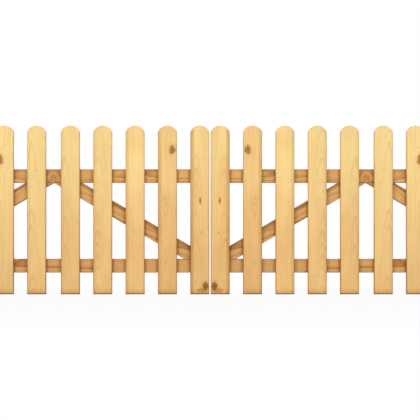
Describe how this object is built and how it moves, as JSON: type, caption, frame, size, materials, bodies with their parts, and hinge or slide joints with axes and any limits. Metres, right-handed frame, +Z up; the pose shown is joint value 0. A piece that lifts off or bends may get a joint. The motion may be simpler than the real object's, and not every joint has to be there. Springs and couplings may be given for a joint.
{
  "type": "wooden double gate",
  "caption": "Double-leaf wooden picket gate: round-headed pickets on two rails with slanting braces, hung by steel strap hinges from two square posts.",
  "frame": {"origin": "middle of the left post's foot, at ground level, seen from the picket side", "axes": "+Z up; +X along the shut gate from the left post to the right post; +Y to the back, the side with the rails and hinges; the pickets face -Y"},
  "size_m": [3.18, 0.1122, 0.9],
  "materials": {
    "pine_pickets": "planed softwood, pale yellow, clear matt finish",
    "pine_frame": "planed softwood, warm orange-brown, clear matt finish",
    "pine_posts": "planed softwood, clear matt finish",
    "galvanised_steel": "hot-dip galvanised, dull grey"
  },
  "bodies": {
    "posts": {"left_post": "pine_posts", "left_bottom_pintle": "galvanised_steel", "left_top_pintle": "galvanised_steel", "right_post": "pine_posts", "right_bottom_pintle": "galvanised_steel", "right_top_pintle": "galvanised_steel"},
    "left_leaf": {"left_picket_1": "pine_pickets", "left_picket_2": "pine_pickets", "left_picket_3": "pine_pickets", "left_picket_4": "pine_pickets", "left_picket_5": "pine_pickets", "left_picket_6": "pine_pickets", "left_picket_7": "pine_pickets", "left_picket_8": "pine_pickets", "left_picket_9": "pine_pickets", "left_picket_10": "pine_pickets", "left_bottom_rail": "pine_frame", "left_bottom_strap": "galvanised_steel", "left_top_rail": "pine_frame", "left_top_strap": "galvanised_steel", "left_hinge_brace": "pine_frame", "left_meeting_brace": "pine_frame"},
    "right_leaf": {"right_picket_1": "pine_pickets", "right_picket_2": "pine_pickets", "right_picket_3": "pine_pickets", "right_picket_4": "pine_pickets", "right_picket_5": "pine_pickets", "right_picket_6": "pine_pickets", "right_picket_7": "pine_pickets", "right_picket_8": "pine_pickets", "right_picket_9": "pine_pickets", "right_picket_10": "pine_pickets", "right_bottom_rail": "pine_frame", "right_bottom_strap": "galvanised_steel", "right_top_rail": "pine_frame", "right_top_strap": "galvanised_steel", "right_hinge_brace": "pine_frame", "right_meeting_brace": "pine_frame"}
  },
  "joints": [
    {"name": "left_swing", "type": "hinge", "parent": "posts", "child": "left_leaf", "pos_m": [0.057, 0.0561, 0], "axis": [0, 0, 1], "range_deg": [0, 110]},
    {"name": "right_swing", "type": "hinge", "parent": "posts", "child": "right_leaf", "pos_m": [3.033, 0.0561, 0], "axis": [0, 0, -1], "range_deg": [0, 110]}
  ]
}
